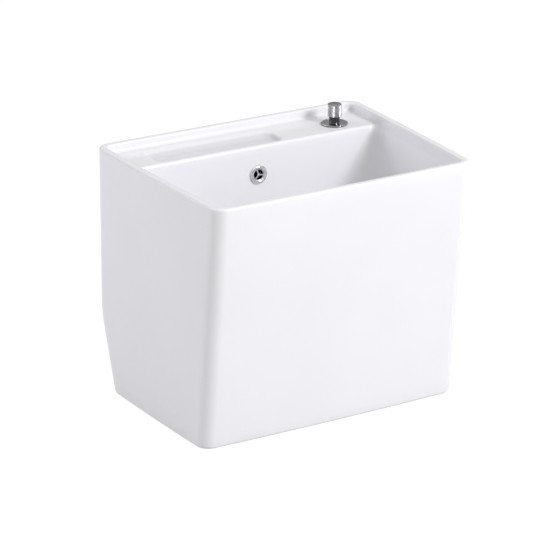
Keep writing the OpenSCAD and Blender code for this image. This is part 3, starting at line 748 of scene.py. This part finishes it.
duct = dict(width=0.028, depth=0.012, wall=0.010, behind=0.002, start=0.093, sunk=0.0005, rootSink=0.004,
    footFront=0.038, footSink=0.006, mouthFront=0.015, floorGap=0.001, chamberHeight=0.016, near=0.0005)
holes = dict(overflowDrop=0.063, overflowRadius=0.0117, overflowLength=0.040, overflowShift=0.002,
    knobRadius=0.0095, knobLength=0.080, knobSink=0.010, notchWidth=0.140, notchHeight=0.105,
    notchRadius=0.024, notchBelow=0.050, notchBehind=0.010)
bowlSlope = basin["bowlIn"][2] / (bowlTop - basin["bowlFoot"])
overflowZ = rimZ - holes["overflowDrop"]
overflowY = bowlBack - (bowlTop - overflowZ) * bowlSlope
overflowTurn = Matrix.Rotation(pi / 2 - atan(bowlSlope), 4, "X")  # square to the bowl's rear wall
atOverflow = Matrix.Translation((0, overflowY, overflowZ)) @ overflowTurn


def ductPassage():
    # lowest and highest corner of the duct's upright passage
    side = duct["width"] / 2
    front = overflowY + basin["wall"] + duct["behind"]
    low = basin["bossUnder"] + duct["wall"] + duct["floorGap"]
    return (-side, front, low), (side, front + duct["depth"], overflowZ + side)


def addDuct(casting):
    # a block behind the bowl and one under its floor, the passage down from the overflow through the
    # first and the chamber at its foot
    (left, front, low), (right, rear, top) = ductPassage()
    outer, under = right + duct["wall"], basin["bossUnder"] + duct["sunk"]
    deckUnder = deckZ - basin["deckThickness"]
    carve(casting, makeBlock("duct", (-outer, duct["start"], under),
        (outer, rear + duct["wall"], deckUnder + duct["rootSink"])), "UNION")
    carve(casting, makeBlock("ductFoot", (-outer, basin["drainY"] + duct["footFront"], under),
        (outer, rear + duct["wall"], basin["bowlFloor"] - duct["footSink"])), "UNION")
    carve(casting, makeBlock("ductSpace", (left, front, low), (right, rear, top)), "DIFFERENCE")
    carve(casting, makeBlock("ductFootSpace", (left, basin["drainY"] + duct["mouthFront"], low),
        (right, rear, low + duct["chamberHeight"])), "DIFFERENCE")


def cutHoles(casting):
    # the overflow hole, the hole for the shank of the knob's flange and the notch for the waste pipe
    carve(casting, makeRod("overflowHole", holes["overflowRadius"], holes["overflowLength"],
        atOverflow @ Matrix.Translation((0, 0, holes["overflowShift"]))), "DIFFERENCE")
    carve(casting, makeRod("knobHole", holes["knobRadius"], holes["knobLength"],
        axisOf("escutcheon") @ Matrix.Translation((0, 0, deckZ - holes["knobSink"]))), "DIFFERENCE")
    notch = holes["notchWidth"] / 2
    carve(casting, makeBlock("pipeNotch", (-notch, backY - basin["deckDepth"], -holes["notchBelow"]),
        (notch, backY + holes["notchBehind"], holes["notchHeight"]), holes["notchRadius"], 0), "DIFFERENCE")


def paintDuctShade(mesh):
    # the passage behind the overflow gets a near-black finish of its own: painted shade
    (left, front, low), (right, rear, top) = ductPassage()
    near, number = duct["near"], len(mesh.materials)
    mesh.materials.append(finishes["ductPaintedShade"])
    for face in mesh.polygons:
        spot = face.center
        inPlan = left - near < spot.x < right + near and front - near < spot.y < rear + near
        if inPlan and low + duct["chamberHeight"] < spot.z < top + near:
            face.material_index = number


def makeBasin():
    casting = finishMesh(makeLoft(basinRings()), "basin_casting",
        [finishes["glaze"], finishes["bisque"]], basin["smoothAngle"])
    print("basin loft", len(casting.data.polygons))
    addDuct(casting)
    cutHoles(casting)
    mesh = casting.data
    paintDuctShade(mesh)
    smoothMesh(mesh, basin["smoothAngle"])
    standFor(casting, "basin")
    return casting


basinCasting = makeBasin()
print("basin made:", len(basinCasting.data.polygons))


def turned(name, profile, finish, place, node, band=None):
    # a lathe profile of (radius, height) points, spun once about its own axis and put in its place
    bm = bmesh.new()
    spots = [bm.verts.new((r, 0, z)) for r, z in profile]
    edges = [bm.edges.new((a, b)) for a, b in zip(spots, spots[1:])]
    if profile[0][0] > 0 and profile[-1][0] > 0:  # a ring: its profile is a closed loop
        edges.append(bm.edges.new((spots[-1], spots[0])))
    bmesh.ops.spin(bm, geom=spots + edges, cent=(0, 0, 0), axis=(0, 0, 1), angle=2 * pi,
        steps=meshing["roundSteps"], use_merge=True)
    bmesh.ops.remove_doubles(bm, verts=bm.verts[:], dist=meshing["weld"])
    bmesh.ops.recalc_face_normals(bm, faces=bm.faces[:])
    looks = [finishes[finish]]
    if band:  # a second finish inside one radius and between two heights
        looks.append(finishes[band["finish"]])
        for face in bm.faces:
            spot = face.calc_center_median()
            if hypot(spot.x, spot.y) < band["radius"] and band["low"] < spot.z < band["high"]:
                face.material_index = 1
    bmesh.ops.transform(bm, matrix=place, verts=bm.verts[:])
    piece = finishMesh(bm, name, looks, meshing["turnedAngle"])
    standFor(piece, node)


cornerLook = dict(share=0.45, points=5)


def rounded(points, radius):
    # cuts each inner corner of an open profile to an arc-like curve
    made = [points[0]]
    for before, here, after in zip(points, points[1:], points[2:]):
        corner = Vector(here)
        back, on = Vector(before) - corner, Vector(after) - corner
        reach = min(radius, back.length * cornerLook["share"], on.length * cornerLook["share"])
        start, end = corner + back.normalized() * reach, corner + on.normalized() * reach
        for i in range(cornerLook["points"] + 1):
            t = i / cornerLook["points"]
            made.append(tuple(start * (1 - t) ** 2 + corner * 2 * t * (1 - t) + end * t * t))
    made.append(points[-1])
    return made


bezel = dict(outer=0.016, height=0.004, bore=0.010, sleeve=0.0114, sleeveLength=0.009, gasket=0.001,
    shoulder=0.0022, slope=0.00216, edge=0.0012, roll=0.0012)


def makeOverflowBezel():
    # the overflow's ring and its sleeve
    inner, outer, sleeve, top = bezel["bore"], bezel["outer"], bezel["sleeve"], bezel["height"]
    profile = rounded([
        (inner, -bezel["sleeveLength"]), (sleeve, -bezel["sleeveLength"]), (sleeve, bezel["gasket"]),
        (outer, bezel["gasket"]), (outer, bezel["shoulder"]), (outer - bezel["slope"], top),
        (inner + bezel["edge"], top), (inner, top - bezel["edge"])], bezel["roll"])
    turned("overflow_bezel", profile, "chrome", atOverflow, "overflow_ring")


flange = dict(thickness=0.0024, neck=0.009, shank=0.008, bore=0.00505, rodHole=0.0033, lip=0.002,
    gasket=0.001, edge=0.0008, slope=0.003, slopeDrop=0.00008, neckDraft=0.0002, roll=0.0009,
    bandOut=0.0003, bandStart=0.0004, bandPast=0.001)


def makeKnobFlange():
    # the round deck flange with its neck and shank, in chrome darkened with painted shade; a near-black
    # metal band goes round the neck
    low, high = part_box("escutcheon")
    outer, end, top = (high.x - low.x) / 2, low.z, high.z
    bore, shank, hole = flange["bore"], flange["shank"], flange["rodHole"]
    under = deckZ + flange["gasket"]
    face, lip = under + flange["thickness"], top - flange["lip"]
    profile = rounded([
        (bore, end), (shank, end), (shank, under), (outer, under), (outer, face - flange["edge"]),
        (outer - flange["slope"], face - flange["slopeDrop"]), (flange["neck"] + flange["neckDraft"], face),
        (flange["neck"], top), (hole, top), (hole, lip), (bore, lip)], flange["roll"])
    band = dict(finish="nearBlackMetal", radius=flange["neck"] + flange["bandOut"],
        low=face + flange["bandStart"], high=top + flange["bandPast"])
    turned("knob_flange", profile, "chromePaintedDark", axisOf("knob"), "escutcheon", band)


drain = dict(opening=0.0165, sleeve=0.01895, sleeveLength=0.014, outer=0.032, gasket=0.0015,
    thickness=0.0025, edge=0.0006, slope=0.002, dish=0.0018, dishWidth=0.005, roll=0.0009)
atDrain = Matrix.Translation((0, basin["drainY"], 0))


def makeDrainRim():
    # the flange in the bowl's floor, dished towards its opening
    inner, sleeve, outer, edge = drain["opening"], drain["sleeve"], drain["outer"], drain["edge"]
    under = basin["bowlFloor"] + drain["gasket"]
    top = under + drain["thickness"]
    profile = rounded([
        (inner, under - drain["sleeveLength"]), (sleeve, under - drain["sleeveLength"]), (sleeve, under),
        (outer, under), (outer, under + edge), (outer - drain["slope"], top),
        (inner + drain["dishWidth"], top - edge), (inner, top - drain["dish"])], drain["roll"])
    turned("drain_rim", profile, "chrome", atDrain, "drain_flange")


stopper = dict(radius=0.021, hub=0.001, lip=0.0016, lipWidth=0.002, edge=0.0008, shoulder=0.004,
    crown=0.0032, roll=0.0008, crownSteps=10)


def makeStopperCap():
    # the stopper's cap, with a flat underside and a domed top
    low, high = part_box("plug_cap")
    radius, under, top = stopper["radius"], low.z, high.z
    inner, lip = radius - stopper["shoulder"], under + stopper["lip"]
    profile = [(0, under)] + rounded([
        (stopper["hub"], under), (radius - stopper["lipWidth"], under), (radius, lip),
        (radius, lip + stopper["edge"]), (inner, top - stopper["crown"])], stopper["roll"])
    for share in steps(0, 1, stopper["crownSteps"]):
        profile.append((inner * (1 - share), top - stopper["crown"] * (1 - share) ** 2))
    turned("stopper_cap", profile, "chrome", atDrain, "plug_cap")


makeOverflowBezel()
makeKnobFlange()
makeDrainRim()
makeStopperCap()
print("turned pieces made")


knob = dict(radius=0.012, columns=120, rows=26, depth=0.00035, knurlEnd=0.0004, shoulder=0.0002,
    bevel=0.001, crown=0.0004, crownSteps=5, tip=0.0004, edge=0.001, rodHole=0.003, roof=0.006,
    polish=0.0003, smoothAngle=20)


def knobLevels(low, knurlTop, top):
    # (radius, height, knurl row) up the knob's outside, from the rod's hole to the middle of its top
    inner = knob["radius"] - knob["bevel"]
    knurlLow, knurlHigh = low + knob["edge"], knurlTop - knob["knurlEnd"]
    levels = [(knob["rodHole"], low, None), (knob["radius"] - knob["edge"], low, None)]
    for row in range(knob["rows"] + 1):
        levels.append((knob["radius"], lerp(knurlLow, knurlHigh, row / knob["rows"]), row))
    levels.append((knob["radius"] - knob["shoulder"], knurlTop, None))
    levels.append((inner, top - knob["crown"], None))
    for share in steps(0, 1, knob["crownSteps"]):
        levels.append((lerp(inner, knob["tip"], share), top - knob["crown"] * (1 - share), None))
    return levels


def makeKnob():
    # a knurled wall with a polished sloping top, built up from one circle of edges
    low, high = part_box("knob")
    knurlTop = high.z - knob["bevel"]
    bm, order, start = startCircle(knob["columns"], knob["rodHole"])

    def place(verts, radius, z, row=None):
        for v in verts:
            a = 2 * pi * v[order] / knob["columns"]
            peak = row is None or (row + v[order]) % 2 == 0
            out = radius if peak else radius - knob["depth"]
            v.co = (out * cos(a), out * sin(a), z)

    place(start, knob["rodHole"], high.z - knob["roof"])
    edges = list(bm.edges)
    knurlVerts = []
    for radius, z, row in knobLevels(low.z, knurlTop, high.z):
        verts, _, edges = pullOut(bm, edges)
        place(verts, radius, z, row)
        if row is not None:
            knurlVerts += [v for v in verts if (row + v[order]) % 2]
    bmesh.ops.connect_verts(bm, verts=knurlVerts)
    bmesh.ops.holes_fill(bm, edges=[e for e in bm.edges if len(e.link_faces) == 1], sides=0)
    bmesh.ops.recalc_face_normals(bm, faces=bm.faces[:])
    bmesh.ops.transform(bm, matrix=axisOf("knob"), verts=bm.verts[:])
    # the polished top takes the chrome darkened with painted shade
    for face in bm.faces:
        level = face.calc_center_median().z
        face.material_index = 1 if level > knurlTop - knob["polish"] else 0
    piece = finishMesh(bm, "lift_knob", [finishes["knurledChrome"], finishes["chromePaintedDark"]],
        knob["smoothAngle"])
    standFor(piece, "knob")


makeKnob()
print("knob made")


stage = dict(floorSize=14.0, floorCells=4, floorColour=(0.60, 0.60, 0.60), floorRough=0.9, floorGlow=1.2,
    floorShare=0.75, ambient=0.73, skyLean=(0.30, -0.22, 0.0), skyColour=(0.998, 1.0, 0.965),
    roomStops=((0.0, (0.05, 0.05, 0.052)), (0.36, (0.48, 0.48, 0.49)), (0.85, (1.0, 1.0, 1.0))),
    lampAim=(0, 0, 0.25), keyPower=55.0, keyPlace=(1.24, -2.59, 2.08), keySize=0.7,
    keyColour=(1.0, 0.995, 1.03), fillPower=26.0, fillPlace=(-2.4, 1.7, 1.2), fillSize=1.5,
    fillColour=(0.99, 0.985, 1.06))


def makeFloor():
    # pale paper that camera, glossy and transmission rays see brighter than it is lit
    bm = bmesh.new()
    bmesh.ops.create_grid(bm, x_segments=stage["floorCells"], y_segments=stage["floorCells"],
        size=stage["floorSize"] / 2)
    material = bpy.data.materials.new("floorPaper")
    material.use_nodes = True
    tree = material.node_tree
    shader = tree.nodes["Principled BSDF"]
    shader.inputs["Base Color"].default_value = (*stage["floorColour"], 1)
    shader.inputs["Roughness"].default_value = stage["floorRough"]
    glow = addNode(tree, "ShaderNodeEmission", (0, -300))
    glow.inputs["Strength"].default_value = stage["floorGlow"]
    mix = addNode(tree, "ShaderNodeMixShader", (300, 0))
    path = addNode(tree, "ShaderNodeLightPath", (-600, 300))
    seen = addNode(tree, "ShaderNodeMath", (-400, 300), operation="MAXIMUM")
    clear = addNode(tree, "ShaderNodeMath", (-200, 300), operation="MAXIMUM")
    share = addNode(tree, "ShaderNodeMath", (0, 300), operation="MULTIPLY")
    share.inputs[1].default_value = stage["floorShare"]
    link = tree.links.new
    link(path.outputs["Is Camera Ray"], seen.inputs[0])
    link(path.outputs["Is Glossy Ray"], seen.inputs[1])
    link(seen.outputs[0], clear.inputs[0])
    link(path.outputs["Is Transmission Ray"], clear.inputs[1])
    link(clear.outputs[0], share.inputs[0])
    link(share.outputs[0], mix.inputs["Fac"])
    link(shader.outputs["BSDF"], mix.inputs[1])
    link(glow.outputs["Emission"], mix.inputs[2])
    link(mix.outputs["Shader"], tree.nodes["Material Output"].inputs["Surface"])
    floor = finishMesh(bm, "floor", [material])


def makeWorld():
    # white for the camera, a room that brightens upwards for reflections, and for the rest a sky that
    # is a little stronger on one side
    world = bpy.data.worlds.new("studio")
    bpy.context.scene.world = world
    world.use_nodes = True
    tree = world.node_tree
    sky = tree.nodes["Background"]
    sky.inputs["Color"].default_value = (*stage["skyColour"], 1)
    white = addNode(tree, "ShaderNodeBackground", (0, -200))
    white.inputs["Color"].default_value = (1, 1, 1, 1)
    room = addNode(tree, "ShaderNodeBackground", (0, -400))
    where = addNode(tree, "ShaderNodeTexCoord", (-900, -400))
    split = addNode(tree, "ShaderNodeSeparateXYZ", (-700, -400))
    ramp = addNode(tree, "ShaderNodeValToRGB", (-400, -400))
    stops = ramp.color_ramp.elements
    stops.new(stage["roomStops"][1][0])
    for stop, (position, colour) in zip(stops, stage["roomStops"]):
        stop.position = position
        stop.color = (*colour, 1)
    path = addNode(tree, "ShaderNodeLightPath", (-200, 300))
    glossy = addNode(tree, "ShaderNodeMixShader", (200, -200))
    camera = addNode(tree, "ShaderNodeMixShader", (400, 0))
    lean = addNode(tree, "ShaderNodeVectorMath", (-700, 0), operation="DOT_PRODUCT")
    lean.inputs[1].default_value = stage["skyLean"]
    level = addNode(tree, "ShaderNodeMath", (-500, 0), operation="MULTIPLY_ADD")
    level.inputs[1].default_value = stage["ambient"]
    level.inputs[2].default_value = stage["ambient"]
    link = tree.links.new
    link(where.outputs["Generated"], lean.inputs[0])
    link(lean.outputs["Value"], level.inputs[0])
    link(level.outputs[0], sky.inputs["Strength"])
    link(where.outputs["Generated"], split.inputs[0])
    link(split.outputs["Z"], ramp.inputs["Fac"])
    link(ramp.outputs["Color"], room.inputs["Color"])
    link(path.outputs["Is Glossy Ray"], glossy.inputs["Fac"])
    link(sky.outputs[0], glossy.inputs[1])
    link(room.outputs[0], glossy.inputs[2])
    link(path.outputs["Is Camera Ray"], camera.inputs["Fac"])
    link(glossy.outputs[0], camera.inputs[1])
    link(white.outputs[0], camera.inputs[2])
    link(camera.outputs[0], tree.nodes["World Output"].inputs["Surface"])


def addLamp(kind):
    # a square lamp that looks at the object, with the values that the stage gives its kind
    light = bpy.data.lights.new(kind + "Light", "AREA")
    light.shape = "SQUARE"
    light.size = stage[kind + "Size"]
    light.energy = stage[kind + "Power"]
    light.color = stage[kind + "Colour"]
    lamp = bpy.data.objects.new(kind + "Light", light)
    lamp.location = stage[kind + "Place"]
    aim = Vector(stage["lampAim"]) - lamp.location
    lamp.rotation_euler = aim.to_track_quat("-Z", "Y").to_euler()
    bpy.context.scene.collection.objects.link(lamp)


cameraLook = dict(focalPixels=3000, framePixels=560, sensor=36, place=(-2.39371, -3.94037, 1.95980),
    yaw=31.165, pitch=20.919, roll=0.274, farthest=100)


def makeCamera():
    # looks as the photo does, from angles that were fitted to the object's edges
    yaw, pitch, roll = (radians(cameraLook[turn]) for turn in ("yaw", "pitch", "roll"))
    forward = Vector((sin(yaw) * cos(pitch), cos(yaw) * cos(pitch), -sin(pitch)))
    right = Vector((cos(yaw), -sin(yaw), 0))
    up = right.cross(forward)
    turnedRight = right * cos(roll) + up * sin(roll)
    turnedUp = up * cos(roll) - right * sin(roll)
    data = bpy.data.cameras.new("camera")
    data.sensor_width = cameraLook["sensor"]
    data.lens = cameraLook["focalPixels"] / cameraLook["framePixels"] * cameraLook["sensor"]
    data.clip_end = cameraLook["farthest"]
    camera = bpy.data.objects.new("camera", data)
    turn = Matrix((turnedRight, turnedUp, -forward)).transposed().to_4x4()
    camera.matrix_world = Matrix.Translation(cameraLook["place"]) @ turn
    bpy.context.scene.collection.objects.link(camera)
    bpy.context.scene.camera = camera


makeFloor()
makeWorld()
addLamp("key")
addLamp("fill")
makeCamera()
bpy.context.scene.view_settings.view_transform = "Standard"
print("stage set")

bpy.context.view_layer.update()
